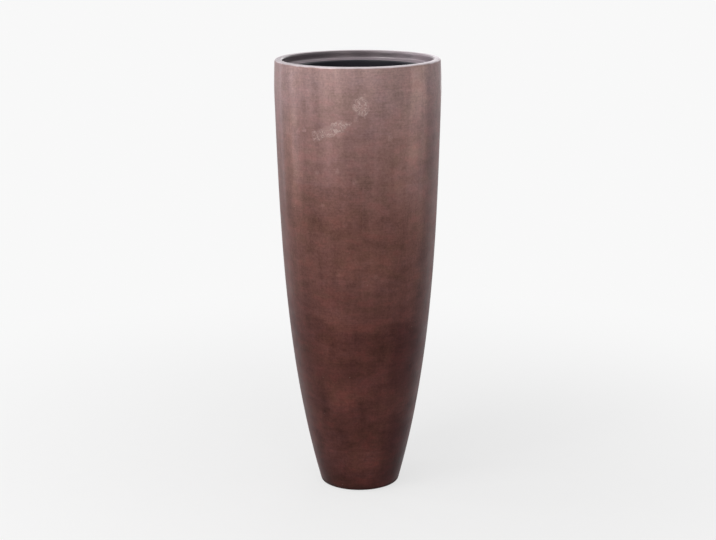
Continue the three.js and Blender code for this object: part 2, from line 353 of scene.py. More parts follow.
# colours are linear, by share of the planter's height; the height colours darken towards the foot, partly the
# leaf's own tint and partly painted shade
leaf = {
    "heightColours": [
        (0.00, (0.055, 0.018, 0.015)),
        (0.10, (0.08, 0.028, 0.023)),
        (0.38, (0.08, 0.028, 0.023)),
        (0.65, (0.14, 0.064, 0.053)),
        (0.85, (0.21, 0.12, 0.11)),
        (1.00, (0.30, 0.20, 0.19)),
    ],
    # what the tints do to the colour under them; peach is partly the leaf's tone and partly painted
    # highlight, dark partly tone and partly painted shade, and dusk is painted shade
    "rose": (1.08, 1.16, 1.27),
    "olive": (0.92, 0.98, 0.86),
    "brick": (1.05, 0.82, 0.80),
    "peach": (1.24, 1.26, 1.22),
    "dark": (0.56, 0.46, 0.50),
    "dusk": (0.72, 0.76, 0.80),
    # large patches, some the leaf's own tone and some painted highlight and painted shade: degrees round from
    # the front, height, half width in degrees, half height, tint, strength
    "tonePatchesAndPaintedLight": [
        (45, 0.86, 10, 0.08, "peach", 0.9),
        (30, 0.72, 15, 0.10, "peach", 0.8),
        (-55, 0.70, 10, 0.10, "peach", 0.9),
        # painted shade: an upright dark strip down the right side
        (60, 0.50, 10, 0.50, "dusk", 0.7),
        (5, 0.50, 25, 0.04, "peach", 0.8),
        (-15, 0.39, 25, 0.03, "peach", 0.9),
        (-20, 0.32, 20, 0.04, "peach", 1.0),
        (-15, 0.23, 25, 0.03, "peach", 1.0),
        (45, 0.30, 20, 0.10, "dark", 0.8),
        (50, 0.10, 25, 0.10, "dark", 0.9),
        (5, 0.07, 20, 0.04, "peach", 1.0),
    ],
    "patchWander": 0.020,  # how far the patches' outlines stray, in metres
    "patchEdge": (1.35, 0.35),  # reach at which a patch starts, and at which it is full
    # clouds: width of their features in metres, how they break up, and where in the noise they lie
    "clouds": {
        "rampWander": {"size": 0.09, "detail": 2, "shift": 1.0},
        "broad": {"size": 0.075, "detail": 5, "roughness": 0.58, "shift": 3.0, "squash": 1.6, "warp": 0.3},
        "small": {"size": 0.03, "detail": 3, "roughness": 0.52, "shift": 11.0, "squash": 1.9, "warp": 0.3},
        "tone": {"size": 0.055, "detail": 4, "roughness": 0.58, "shift": 23.0, "squash": 1.9},
        "seamWander": {"size": 0.02, "detail": 2, "shift": 31.0},
        "seamGaps": {"size": 0.03, "detail": 3, "shift": 41.0},
        "drifts": {"size": 0.022, "detail": 3, "roughness": 0.6, "shift": 45.0, "squash": 0.12},
        "lines": {"size": 0.035, "detail": 4, "roughness": 0.65, "shift": 51.0, "squash": 26},
        "grain": {"size": 0.0045, "detail": 3, "roughness": 0.75, "shift": 61.0},
        "ragged": {"size": 0.006, "detail": 3, "roughness": 0.7, "shift": 71.0},
        "scuffEdge": {"size": 0.012, "detail": 3},
        "folds": {"size": 0.012, "detail": 3, "roughness": 0.55, "shift": 81.0, "warp": 1.2},
        "peel": {"size": 0.008, "detail": 3, "roughness": 0.6, "shift": 91.0},
    },
    "rampWander": 0.05,  # share of the height by which the tint's levels stray
    # the clouds' tints: cloud value where each starts, where it is full, and its strength
    "cloudTints": {"rose": (0.49, 0.62, 0.6), "olive": (0.51, 0.38, 0.6), "brick": (0.51, 0.60, 0.42)},
    "footContrast": 1.25,  # the clouds show more towards the foot
    "lipContrast": 0.5,
    # how much each kind of cloud changes the lightness
    "lightness": {"tone": 0.85, "small": 0.5, "drifts": 0.6, "lines": 0.5, "grain": 0.9},
    "leafSide": 0.095,  # side of one sheet of leaf
    "leavesRound": 11,
    "sheetTints": ((0.94, 0.92, 0.91), (1.06, 1.07, 1.09)),
    "seamTint": (1.3, 1.25, 1.25),
    "seamStrength": 0.16,
    "seamWander": 0.06,  # this and the width are shares of a sheet
    "seamWidth": 0.03,
    "fleckColour": (0.56, 0.44, 0.38),
    "fleckStrength": 0.2,
    "flecksPerMetre": 55.0,
    # the lip's top is paler, partly rubbed and partly a painted highlight where it faces up
    "rubbedAndLitLip": (0.70, 0.64, 0.67),
    "lipRubAndHighlight": (0.0035, 0.0008),  # metres below the lip's top where it starts, and where it is full
    "lipRubAndHighlightStrength": 0.85,
    # darker and duller towards the foot
    "footDark": (0.022, 0.012, 0.011),
    "footDarkRange": (0.014, 0.002),  # heights where it starts, and where it is full
    "footDarkStrength": 0.6,
    "metallic": 0.35,
    "roughness": 0.4,
    "edgeTint": (0.45, 0.42, 0.46),  # keeps the leaf from shining white at its rim
    "specular": 0.1,
    "coat": 0.45,
    "coatBend": 1.2,  # a low index keeps the lacquer clear where it faces the eye, and pale at its rim
    "coatRoughness": 0.14,
    "wornBelow": 0.22,  # the lacquer thins out below this height
    "footCoat": 0.4,  # share of it left at the foot
    "wave": 0.00035,  # heights of the relief, in metres
    "peel": 0.00009,
    "grit": 0.000027,
    "brush": 0.00003,
    "seam": 0.00004,
    "crinkle": 0.0003,
    # worn, crinkled places: degrees round from the front, height, half width and half height in metres, tilt
    "scuffs": [(-17.5, 0.777, 0.047, 0.015, 20.0), (2.5, 0.826, 0.016, 0.023, 0.0)],
    "scuffRaggedness": 2.8,
    "scuffColour": (0.54, 0.41, 0.38),
    "foldStrength": 0.6,
    "scuffStrength": 0.13,
    # small rubbed spots: degrees round from the front, height
    "spots": [(-45, 0.77), (-39, 0.775), (-29, 0.69), (-14, 0.695), (-2, 0.675), (-26, 0.625),
              (-15, 0.485), (13, 0.48), (22, 0.76), (-1, 0.80)],
    "spotSize": 0.006,
    "spotRaggedness": 3.0,
    "smudge": (1.24, 1.32, 1.34),  # what such a spot does to the colour under it
}


# a value that is 0 at the middle of a patch and 1 at its half width and half height
def patchReach(finish, spot, degrees, level, halfAngle, halfHeight):
    grown = (1 / halfAngle, 1 / halfHeight, 0)
    shift = (-math.radians(degrees) / halfAngle, -level / halfHeight, 0)
    moved = finish.node("ShaderNodeVectorMath", {"operation": "MULTIPLY_ADD"}, {0: spot, 1: grown, 2: shift})
    return finish.node("ShaderNodeVectorMath", {"operation": "LENGTH"}, {0: moved}, "Value")


def leafFinish():
    finish = Finish(bpy.data.materials.new("bronzeLeaf"))
    place = finish.place()

    def cloud(name):
        return finish.cloud(place, **leaf["clouds"][name])

    x = finish.node("ShaderNodeSeparateXYZ", {}, {0: place}, "X")
    y, z = x.other("Y"), x.other("Z")
    turn = finish.maths("ARCTAN2", x, 0 - y)  # radians round from the front, to the right
    share = z / (height * mm)

    # darker towards the foot, a little unevenly: partly the leaf's own tint, partly painted shade of the
    # lower body
    rampPlace = share + (cloud("rampWander") - 0.5) * leaf["rampWander"]
    colour = finish.node("ShaderNodeValToRGB", {"stops": leaf["heightColours"]}, {0: rampPlace}, "Color")

    # clouds of rose, olive brown and brick lie over it, from hand size down to a fingertip
    broad, small, tone = cloud("broad"), cloud("small"), cloud("tone")
    lower = leaf["footContrast"] - share * (leaf["footContrast"] - leaf["lipContrast"])
    handSize = broad * 0.6 + small * 0.4
    fingerSize = small * 0.6 + tone * 0.4
    for tint, clouds in (("rose", handSize), ("olive", handSize), ("brick", fingerSize)):
        start, full, strength = leaf["cloudTints"][tint]
        mask = finish.fade(clouds, start, full) * strength * lower
        colour = finish.blend(mask, colour, leaf[tint], "MULTIPLY")

    # larger patches with wandering outlines: tone, painted highlights and painted shade
    stray = 4 * leaf["patchWander"]
    strayed = turn + (broad - 0.5) * (stray / (widestRadius * mm))
    spot = finish.node("ShaderNodeCombineXYZ", {}, {"X": strayed, "Y": z + (tone - 0.5) * stray})
    for degrees, level, halfWidth, halfHeight, tint, strength in leaf["tonePatchesAndPaintedLight"]:
        reach = patchReach(finish, spot, degrees, level, math.radians(halfWidth), halfHeight)
        mask = finish.fade(reach, *leaf["patchEdge"]) * strength
        colour = finish.blend(mask, colour, leaf[tint], "MULTIPLY")

    # sheets of leaf in rows: each takes the tint a little differently, and overlaps its neighbour
    row = finish.maths("FLOOR", z / leaf["leafSide"])
    slide = finish.node("ShaderNodeTexWhiteNoise", {"noise_dimensions": "1D"}, {"W": row}, "Value")
    along = turn * (leaf["leavesRound"] / (2 * math.pi)) + slide + leaf["leavesRound"]
    column = finish.maths("MODULO", finish.maths("FLOOR", along), leaf["leavesRound"])
    cell = finish.node("ShaderNodeCombineXYZ", {}, {"X": column, "Y": row})
    sheet = finish.node("ShaderNodeTexWhiteNoise", {"noise_dimensions": "2D"}, {"Vector": cell}, "Value")
    colour = finish.blend(1.0, colour, finish.blend(sheet, *leaf["sheetTints"]), "MULTIPLY")
    wander = cloud("seamWander") * leaf["seamWander"]
    acrossEdge = finish.maths("PINGPONG", along + wander, 0.5)
    upEdge = finish.maths("PINGPONG", z / leaf["leafSide"] + wander, 0.5)
    seam = finish.fade(finish.maths("MINIMUM", acrossEdge, upEdge), leaf["seamWidth"], 0.0)
    seam = seam * finish.fade(cloud("seamGaps"), 0.48, 0.62)
    colour = finish.blend(seam * leaf["seamStrength"], colour, leaf["seamTint"], "MULTIPLY")

    # lightness: mottling, upright drifts, level brush lines and a fine grain
    drifts, lines, grain = cloud("drifts"), cloud("lines"), cloud("grain")
    amount = leaf["lightness"]
    light = ((tone - 0.5) * amount["tone"] + (small - 0.5) * amount["small"]) * lower
    light = light + (drifts - 0.5) * amount["drifts"] + (lines - 0.5) * amount["lines"]
    light = light + (grain - 0.5) * amount["grain"] + 1.0
    lightness = finish.node("ShaderNodeCombineColor", {}, {0: light, 1: light, 2: light})
    colour = finish.blend(1.0, colour, lightness, "MULTIPLY")

    # pale flecks, more of them high up
    sockets = {"Vector": finish.stretched(place, (1, 1, 1.7)), "Scale": leaf["flecksPerMetre"]}
    cells = finish.node("ShaderNodeTexVoronoi", {"feature": "F1"}, sockets, "Distance")
    chosen = finish.node("ShaderNodeSeparateColor", {}, {0: cells.other("Color")}, 0)
    fleck = finish.fade(cells, 0.085, 0.03) * finish.fade(chosen + share * 0.12, 0.93, 0.97)
    colour = finish.blend(fleck * leaf["fleckStrength"], colour, leaf["fleckColour"])

    # a few larger rubbed spots
    ragged = (cloud("ragged") - 0.5) * leaf["spotRaggedness"]
    upright = finish.node("ShaderNodeCombineXYZ", {}, {"X": turn, "Y": z})
    smudges = []
    for degrees, level in leaf["spots"]:
        halfAngle = leaf["spotSize"] / (outsideRadius(level / mm) * mm)
        reach = patchReach(finish, upright, degrees, level, halfAngle, leaf["spotSize"])
        smudges.append(finish.fade(reach + ragged, 1.2, 0.2))
    colour = finish.blend(finish.highest(smudges), colour, leaf["smudge"], "MULTIPLY")

    # crinkled scuffs where the leaf has been rubbed
    scuffs = []
    for degrees, level, halfWidth, halfHeight, tilt in leaf["scuffs"]:
        side = (turn - math.radians(degrees)) * (outsideRadius(level / mm) * mm)
        rise = z - level
        cosine, sine = math.cos(math.radians(tilt)), math.sin(math.radians(tilt))
        u = (side * cosine + rise * sine) / halfWidth
        v = (rise * cosine - side * sine) / halfHeight
        rough = finish.cloud(place, shift=71.0 + degrees, **leaf["clouds"]["scuffEdge"])
        rough = (rough - 0.5) * leaf["scuffRaggedness"]
        scuffs.append(finish.fade(u * u + v * v + rough, 1.15, 0.45))
    scuffed = finish.highest(scuffs)
    fold = finish.fade(finish.maths("ABSOLUTE", cloud("folds") - 0.5), 0.05, 0.0) * scuffed
    worn = fold * leaf["foldStrength"] + scuffed * leaf["scuffStrength"]
    colour = finish.blend(worn, colour, leaf["scuffColour"])

    # the lip's top is paler, partly rubbed and partly a painted highlight; towards the foot it is darker
    lipRubAndHighlight = [height * mm - below for below in leaf["lipRubAndHighlight"]]
    rubbedAndLit = finish.fade(z + (small - 0.5) * 0.003, *lipRubAndHighlight)
    colour = finish.blend(rubbedAndLit * leaf["lipRubAndHighlightStrength"], colour, leaf["rubbedAndLitLip"])
    nearFoot = finish.fade(z + (small - 0.5) * 0.012, *leaf["footDarkRange"])
    colour = finish.blend(nearFoot * leaf["footDarkStrength"], colour, leaf["footDark"])

    # the gloss is cloudy too, and the folds and the foot are duller
    roughness = leaf["roughness"] + (broad - 0.5) * 0.3 + (small - 0.5) * 0.2 + (lines - 0.5) * 0.12
    roughness = roughness + fold * 0.2 + nearFoot * 0.2
    metallic = leaf["metallic"] * (1.0 - fold * 0.5) * (1.0 - nearFoot * 0.7)
    coat = leaf["coat"] * (0.8 + (tone - 0.5) * 1.2) * (1.0 - fold * 0.6) * (1.0 - nearFoot * 0.8)
    coat = coat * finish.fade(z, 0.0, leaf["wornBelow"], leaf["footCoat"], 1.0)
    # seen almost along the surface, the lacquer turns dull
    facing = finish.node("ShaderNodeLayerWeight", {}, {"Blend": 0.5}, "Facing")
    coat = coat * finish.fade(facing, 0.62, 0.84, 1.0, 0.2)
    relief = (drifts * leaf["wave"] + cloud("peel") * leaf["peel"] + lines * leaf["brush"]
              + seam * leaf["seam"] + grain * leaf["grit"] + fold * leaf["crinkle"])
    return finish.surface({
        "Base Color": colour,
        "Metallic": metallic,
        "Roughness": roughness,
        "Specular IOR Level": leaf["specular"],
        "Specular Tint": rgba(leaf["edgeTint"]),
        "Coat Weight": coat,
        "Coat IOR": leaf["coatBend"],
        "Coat Roughness": leaf["coatRoughness"],
        "Normal": finish.bump(relief),
    })


laminate = {
    "resin": (0.020, 0.018, 0.019),
    "fibre": (0.055, 0.052, 0.050),
    "dusty": (1.5, 1.45, 1.4),
    # chopped strands lie every way: shift and lean of three crossed sets of stretched cells
    "strandSets": [(3.0, (1.0, 0.35, 0.2)), (17.0, (0.25, 1.0, 0.5)), (29.0, (0.3, 0.4, 1.0))],
    "strandsPerMetre": 420,
    "roughness": 0.62,
    "relief": 0.0004,
    "lumps": 0.0012,
}


def laminateFinish(name):
    finish = Finish(bpy.data.materials.new(name))
    place = finish.place()
    edges = []
    for shift, lean in laminate["strandSets"]:
        scale = tuple(laminate["strandsPerMetre"] * part for part in lean)
        sockets = {"Vector": finish.stretched(place, scale, (shift, shift, shift)), "Scale": 1.0}
        cells = finish.node("ShaderNodeTexVoronoi", {"feature": "DISTANCE_TO_EDGE"}, sockets)
        edges.append(finish.fade(cells, 0.14, 0.02))
    strands = finish.highest(edges)
    cloudy = finish.cloud(place, 0.03, detail=4, shift=7.0)
    colour = finish.blend(strands * 0.5, laminate["resin"], laminate["fibre"])
    colour = finish.blend(finish.fade(cloudy, 0.4, 0.7) * 0.6, colour, laminate["dusty"], "MULTIPLY")
    return finish.surface({
        "Base Color": colour,
        "Roughness": laminate["roughness"] - strands * 0.15,
        "Normal": finish.bump(strands * laminate["relief"] + cloudy * laminate["lumps"]),
    })


collar = {
    "ledgeBelowLip": 17.5,
    "ledgeWidth": 14,
    "coveRounding": 5,
    "rebateDepth": 3.5,
    "rebateWidth": 11,
    "laminate": 4,
    "skirtLength": 25,
    "bondLine": 0.3,
    "edgeRounding": 1,
    "bendRounding": 2.5,
    "fingerNotchRadius": 11,
    "fingerNotches": 2,
    "cutMargin": 2,  # how far the notch's cutter reaches past what it cuts
}
ledgeTop = height - collar["ledgeBelowLip"]
ledgeInnerRadius = lipInnerRadius - collar["ledgeWidth"]
shelfTop = ledgeTop - collar["rebateDepth"]
shelfInnerRadius = ledgeInnerRadius - collar["rebateWidth"]


def bondedRadius(z):
    return insideRadius(z) - collar["bondLine"]


def linedRadius(z):
    return bondedRadius(z) - collar["laminate"]


def makeCollar(innerLeaf):
    thick = collar["laminate"]
    skirtBottom = ledgeTop - collar["skirtLength"]
    plateBelow = ledgeTop - thick
    corners = [
        (bondedRadius(skirtBottom), skirtBottom),
        (bondedRadius(ledgeTop), ledgeTop, collar["bendRounding"]),
        (lipInnerRadius + thick, ledgeTop),
        (lipInnerRadius + thick, lipUnderside),
        (lipInnerRadius, lipUnderside),
        (lipInnerRadius, ledgeTop, collar["coveRounding"]),
        (ledgeInnerRadius, ledgeTop, collar["edgeRounding"]),
        (ledgeInnerRadius, shelfTop),
        (shelfInnerRadius, shelfTop, collar["edgeRounding"]),
        (shelfInnerRadius, shelfTop - thick),
        (ledgeInnerRadius + thick, shelfTop - thick),
        (ledgeInnerRadius + thick, plateBelow),
        (linedRadius(plateBelow), plateBelow),
        (linedRadius(skirtBottom), skirtBottom),
    ]
    piece = turnedPiece("rimCollar", metres(corners))
    for i in range(collar["fingerNotches"]):
        cutFingerNotch(piece, 2 * math.pi * i / collar["fingerNotches"])
    piece.data.materials.append(innerLeaf)
    settle(piece, "planter", "collar_finish", "rim_collar")


# where a finger hooks under the liner's flange: a round cut through ledge and shelf
def cutFingerNotch(piece, angle):
    low = shelfTop - collar["laminate"] - collar["cutMargin"]
    high = ledgeTop + collar["cutMargin"]
    radius = collar["fingerNotchRadius"]
    drum = metres([(0, low), (radius, low), (radius, high), (0, high)])
    cutter = turnedPiece("notchCutter", drum, turning["smallSteps"])
    middle = ledgeInnerRadius * mm
    cutter.location = (middle * math.cos(angle), middle * math.sin(angle), 0)
    cut = piece.modifiers.new("notch", "BOOLEAN")
    cut.operation, cut.solver, cut.object = "DIFFERENCE", "EXACT", cutter
    applyModifiers(piece)
    bpy.data.objects.remove(cutter)


def applyModifiers(piece):
    graph = bpy.context.evaluated_depsgraph_get()
    made = bpy.data.meshes.new_from_object(piece.evaluated_get(graph))
    piece.modifiers.clear()
    piece.data = made


collarLook = {
    # darker and greyer than the outer leaf: partly its own finish, partly painted shade inside the mouth
    "colour": (0.118, 0.099, 0.107),
    # pale: painted light on the ledge and on the wall's right side
    "litPale": (0.36, 0.31, 0.34),
    "lightClouds": (1.25, 1.15, 1.15),
    "darkLines": (0.78, 0.76, 0.78),
    "ledgeLightFade": (4, 0.5),  # millimetres above the ledge where its paleness starts, and where it is full
    "ledgePaintedLight": 0.7,
    "rightLightFade": (0.02, 0.13),  # metres to the right where the wall's paleness starts, and where it is full
    "rightPaintedLight": 0.9,
    "metallic": 0.45,
    "roughness": 0.35,
    "specular": 0.35,
    "coat": 0.2,
    "coatRoughness": 0.25,
    "relief": {"grain": 0.00003, "lines": 0.00004, "broad": 0.0002},
}


def collarFinish():
    finish = Finish(bpy.data.materials.new("innerLeaf"))
    place = finish.place()
    x = finish.node("ShaderNodeSeparateXYZ", {}, {0: place}, "X")
    z = x.other("Z")
    broad = finish.cloud(place, 0.05, detail=4, roughness=0.6, shift=4.0, warp=0.4)
    grain = finish.cloud(place, 0.0035, detail=3, roughness=0.7, shift=14.0)
    lines = finish.cloud(place, 0.03, detail=3, roughness=0.6, shift=24.0, squash=20)
    # the ledge's top is painted paler than the wall above it: painted light where it faces up
    ledgeLight = finish.fade(z, *[(ledgeTop + above) * mm for above in collarLook["ledgeLightFade"]])
    colour = finish.blend(ledgeLight * collarLook["ledgePaintedLight"], collarLook["colour"], collarLook["litPale"])
    # the wall is painted paler on the right: painted reflection of the left lamps
    rightLight = finish.fade(x + (broad - 0.5) * 0.06, *collarLook["rightLightFade"]) * (1.0 - ledgeLight)
    colour = finish.blend(rightLight * collarLook["rightPaintedLight"], colour, collarLook["litPale"])
    lighter = finish.fade(broad, 0.35, 0.7) * 0.6
    colour = finish.blend(lighter, colour, collarLook["lightClouds"], "MULTIPLY")
    darker = finish.fade(lines * 0.5 + grain * 0.5, 0.6, 0.35) * 0.5
    colour = finish.blend(darker, colour, collarLook["darkLines"], "MULTIPLY")
    heights = collarLook["relief"]
    relief = grain * heights["grain"] + lines * heights["lines"] + broad * heights["broad"]
    return finish.surface({
        "Base Color": colour,
        "Metallic": collarLook["metallic"],
        "Roughness": collarLook["roughness"] + (broad - 0.5) * 0.3 + ledgeLight * 0.1,
        "Specular IOR Level": collarLook["specular"],
        "Coat Weight": collarLook["coat"],
        "Coat Roughness": collarLook["coatRoughness"],
        "Normal": finish.bump(relief),
    })


liner = {
    "height": 280,
    "wall": 3,
    "flangeThickness": 3,
    "flangeClearance": 0.5,
    "clearance": 1,
    "draft": 22,
    "floorRounding": 12,
    "wellRadius": 24,
    "wellDepth": 9,
    "ringSpacing": 8,
    "drawRipple": 0.25,  # depth of the ripples in its side, their size, and the plain side below the flange
    "rippleSize": 60,
    "rippleMargin": 6,
}
flangeTop = shelfTop + liner["flangeThickness"]
linerUnderside = flangeTop - liner["height"]
wellFloor = linerUnderside + liner["wall"]
plug = {
    "holeRadius": 9,
    "clearance": 0.3,
    "headRadius": 14,
    "headThickness": 3,
    "tail": 5,
    "tailTaper": 1.5,
    "knobRadius": 6,
    "neckRadius": 4,
    "neckHeight": 1.6,
    "neckRounding": 0.5,
    "tailRounding": 0.6,
    "knobHeight": 3.4,
}


def makeLiner():
    wall, well = liner["wall"], liner["wellRadius"]
    edge, bend = collar["edgeRounding"], collar["bendRounding"]
    sideRadius = shelfInnerRadius - liner["clearance"]
    floorRadius = sideRadius - liner["draft"]
    floorUnderside = linerUnderside + liner["wellDepth"]
    floorTop = wellFloor + liner["wellDepth"]
    flangeRadius = ledgeInnerRadius - liner["flangeClearance"]

    def drafted(z):
        share = (z - floorUnderside) / (shelfTop - floorUnderside)
        return floorRadius + (sideRadius - floorRadius) * share

    def draftedInside(z):
        return drafted(z) - wall

    run, spacing = 2 * liner["floorRounding"], liner["ringSpacing"]
    corners = [
        (plug["holeRadius"], linerUnderside),
        (well + wall, linerUnderside, bend),
        (well + wall, floorUnderside),
        (floorRadius, floorUnderside, liner["floorRounding"]),
        *alongSide(drafted, floorUnderside + run, shelfTop, spacing),
        (flangeRadius, shelfTop),
        (flangeRadius, flangeTop, edge),
        (sideRadius - wall, flangeTop, bend),
        *alongSide(draftedInside, flangeTop - 3 * bend, floorTop + run, spacing),
        (floorRadius - wall, floorTop, liner["floorRounding"] - wall),
        (well, floorTop, edge),
        (well, wellFloor),
        (plug["holeRadius"], wellFloor),
    ]
    top, bottom = (shelfTop - liner["rippleMargin"]) * mm, (floorTop + run) * mm

    # the hot sheet was drawn down into its mould, which leaves slow ripples in its side
    def drawn(radius, z, angle):
        if not bottom < z < top:
            return radius, z
        ripple = swell(radius, z, angle, liner["rippleSize"] * mm, 13.0)
        ripple *= math.sin(math.pi * (z - bottom) / (top - bottom))
        return radius - liner["drawRipple"] * mm * ripple, z

    piece = turnedPiece("linerPot", metres(corners), uneven=drawn)
    piece.data.materials.append(linerFinish())
    settle(piece, "liner", "liner_plastic", "liner")


linerLook = {
    "colour": (0.007, 0.007, 0.012),
    "scuffed": (0.026, 0.026, 0.034),
    "roughness": 0.5,
    "specular": 0.2,
    "grainsPerMetre": 700.0,
    "leather": 0.00012,  # heights of the relief, in metres
    "lumps": 0.0006,
}


def linerFinish():
    finish = Finish(bpy.data.materials.new("formedPlastic"))
    place = finish.place()
    sockets = {
        "Vector": finish.stretched(place, (1, 1, 0.8)),
        "Scale": linerLook["grainsPerMetre"],
        "Smoothness": 0.6,
    }
    leather = finish.node("ShaderNodeTexVoronoi", {"feature": "SMOOTH_F1"}, sockets)
    cloudy = finish.cloud(place, 0.05, detail=4, shift=5.0)
    scratches = finish.cloud(place, 0.003, detail=2, roughness=0.6, shift=15.0, squash=0.06)
    scuff = finish.fade(scratches, 0.64, 0.75) * finish.fade(cloudy, 0.45, 0.65)
    colour = finish.blend(scuff * 0.6, linerLook["colour"], linerLook["scuffed"])
    return finish.surface({
        "Base Color": colour,
        "Roughness": linerLook["roughness"] + (cloudy - 0.5) * 0.25 + scuff * 0.15,
        "Specular IOR Level": linerLook["specular"],
        "Normal": finish.bump(leather * linerLook["leather"] + cloudy * linerLook["lumps"]),
    })


def makeLinerPlug():
    tail = plug["holeRadius"] - plug["clearance"]
    headTop = wellFloor + plug["headThickness"]
    neckTop = headTop + plug["neckHeight"]
    knobTop = neckTop + plug["knobHeight"]
    edge = collar["edgeRounding"]
    corners = [
        (0, linerUnderside - plug["tail"]),
        (tail - plug["tailTaper"], linerUnderside - plug["tail"], plug["tailRounding"]),
        (tail, linerUnderside),
        (tail, wellFloor),
        (plug["headRadius"], wellFloor),
        (plug["headRadius"], headTop, edge),
        (plug["neckRadius"], headTop, plug["neckRounding"]),
        (plug["neckRadius"], neckTop, plug["neckRounding"]),
        (plug["knobRadius"], neckTop, edge),
        (plug["knobRadius"], knobTop, edge),
        (0, knobTop),
    ]
    piece = turnedPiece("linerPlug", metres(corners), turning["smallSteps"])
    piece.data.materials.append(rubberFinish("plugRubber", rubber["plugColour"]))
    settle(piece, "liner_plug", "plug_rubber", "liner_plug")


rubber = {
    "plugColour": (0.018, 0.017, 0.018),
    "bungColour": (0.020, 0.019, 0.019),
    "padColour": (0.032, 0.031, 0.031),
    "bloom": (0.075, 0.072, 0.072),
    "roughness": 0.7,
    "specular": 0.35,
    "grainSize": 0.0012,
    "relief": 0.00006,
}


def rubberFinish(name, colour):
    finish = Finish(bpy.data.materials.new(name))
    place = finish.place()
    grain = finish.cloud(place, rubber["grainSize"], detail=3, roughness=0.6)
    bloom = finish.fade(finish.cloud(place, 0.012, detail=4, roughness=0.6, shift=6.0), 0.45, 0.75)
    shown = finish.blend(bloom * 0.35, colour, rubber["bloom"])
    return finish.surface({
        "Base Color": shown,
        "Roughness": rubber["roughness"] + bloom * 0.15 + (grain - 0.5) * 0.1,
        "Specular IOR Level": rubber["specular"],
        "Normal": finish.bump(grain * rubber["relief"]),
    })


base = {
    "plateThickness": 5,
    "recessDepth": 8,
    "footRingWidth": 15,
    "upstandHeight": 35,
    "upstandRounding": 4,
    "recessRounding": 4,
    "drainHoleRadius": 11,
    "holeRounding": 0.5,
    "insideRun": 10,  # plain run above the rounding inside
    "ringSpacing": 6,
}
plateUnderside = shellBottom + base["recessDepth"]
plateTop = plateUnderside + base["plateThickness"]
upstandTop = shellBottom + base["upstandHeight"]
footOuterRadius = bondedRadius(shellBottom)


def makeBasePlate():
    recessRadius = footOuterRadius - base["footRingWidth"]
    spacing = base["ringSpacing"]
    corners = [
        *alongSide(bondedRadius, shellBottom, upstandTop, spacing),
        *alongSide(linedRadius, upstandTop, plateTop + base["insideRun"], spacing),
        (linedRadius(plateTop), plateTop, base["upstandRounding"]),
        (base["drainHoleRadius"], plateTop, base["holeRounding"]),
        (base["drainHoleRadius"], plateUnderside, base["holeRounding"]),
        (recessRadius, plateUnderside, base["recessRounding"]),
        (recessRadius, shellBottom, collar["edgeRounding"]),
    ]
    piece = turnedPiece("basePlate", metres(corners))
    piece.data.materials.append(laminateFinish("baseLaminate"))
    settle(piece, "planter", "raw_laminate", "base_plate")


ballast = {
    "height": 55,
    "holeRadius": 28,
    "fall": 4,
    "rounding": 5,
    "ringSpacing": 4,
    "slopeSteps": 24,
    "lumpDepth": 1.2,
    "lumpSize": 12,
    "fineLumpSize": 4,
    "fineLumps": 0.4,  # share of the finer lumps
    "roughFrom": (9, 5),  # below its highest edge, where the lumps start and where they are full
}


# a line from the outer edge of the top down to the hole
def ballastSlope(edgeRadius, top, run):
    outer, inner = edgeRadius - run, ballast["holeRadius"] + run
    slope = []
    for i in range(ballast["slopeSteps"] + 1):
        radius = outer + (inner - outer) * (i / ballast["slopeSteps"])
        fallShare = (edgeRadius - radius) / (edgeRadius - ballast["holeRadius"])
        slope.append((radius, top - ballast["fall"] * fallShare))
    return slope


def makeBallast():
    top = plateTop + ballast["height"]
    hole, rounding = ballast["holeRadius"], ballast["rounding"]
    run = 2 * rounding

    def cast(z):
        return linedRadius(z) - collar["bondLine"]

    corners = [
        (cast(plateTop), plateTop, rounding),
        *alongSide(cast, plateTop + run, top - run, ballast["ringSpacing"]),
        (cast(top), top, rounding),
        *ballastSlope(cast(top), top, run),
        (hole, top - ballast["fall"], rounding),
        (hole, top - ballast["fall"] - run),
        (hole, plateTop),
    ]

    # sand and resin, trowelled by hand: only the top is rough
    def trowelled(radius, z, angle):
        start, full = ballast["roughFrom"]
        onTop = max(0.0, min(1.0, (z / mm - (top - start)) / (start - full)))
        lump = swell(radius, z, angle, ballast["lumpSize"] * mm, 3.0)
        fineLump = swell(radius, z, angle, ballast["fineLumpSize"] * mm, 8.0)
        lump = (1 - ballast["fineLumps"]) * lump + ballast["fineLumps"] * fineLump
        return radius, z - ballast["lumpDepth"] * mm * lump * onTop

    piece = turnedPiece("ballastRing", metres(corners), uneven=trowelled)
    piece.data.materials.append(ballastFinish())
    settle(piece, "planter", "cast_ballast", "ballast_ring")


ballastLook = {
    "resin": (0.34, 0.29, 0.24),
    "sand": (0.50, 0.45, 0.38),
    "darkGrains": (0.14, 0.12, 0.11),
    "damp": (0.72, 0.70, 0.68),
    "grainsPerMetre": 420.0,
    "roughness": 0.85,
    "grain": 0.0003,  # heights of the relief, in metres
    "lumps": 0.0008,
}


